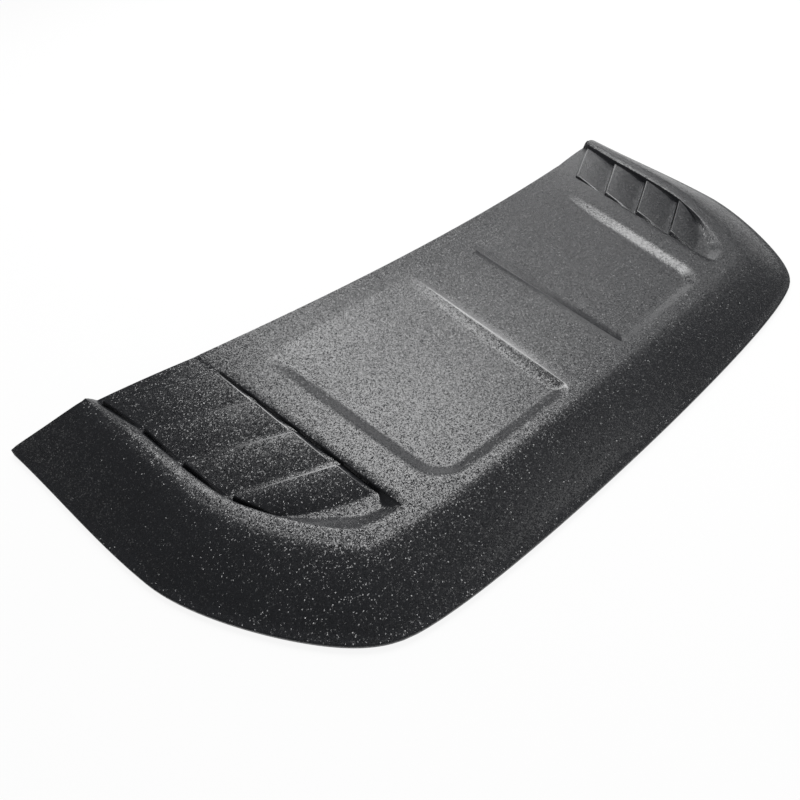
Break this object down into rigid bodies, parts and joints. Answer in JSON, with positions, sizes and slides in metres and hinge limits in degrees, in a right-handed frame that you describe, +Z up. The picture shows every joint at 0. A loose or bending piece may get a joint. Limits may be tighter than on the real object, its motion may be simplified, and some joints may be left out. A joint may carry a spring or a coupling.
{
  "type": "bonnet scoop",
  "caption": "Wide moulded bonnet scoop with a raised top, two recessed panels, a louvred air vent on each side, and rubber edge seal and foam tape under its rim.",
  "frame": {"origin": "middle of the part's outline in plan, on the plane that the edge seal's foot rests on", "axes": "+X across the car, +Y back towards the windscreen, +Z up away from the bonnet"},
  "size_m": [1.1064, 0.4772, 0.0592],
  "materials": {
    "grained_abs": "black, moulded with a fine leather grain, satin sheen",
    "seal_rubber": "black extruded rubber, dull",
    "foam_tape": "dark grey closed-cell acrylic foam, matt"
  },
  "bodies": {
    "root": {"scoop_shell": "grained_abs", "edge_seal_left": "seal_rubber", "edge_seal_front": "seal_rubber", "edge_seal_right": "seal_rubber", "tape_left": "foam_tape", "tape_front": "foam_tape", "tape_right": "foam_tape"}
  },
  "joints": []
}
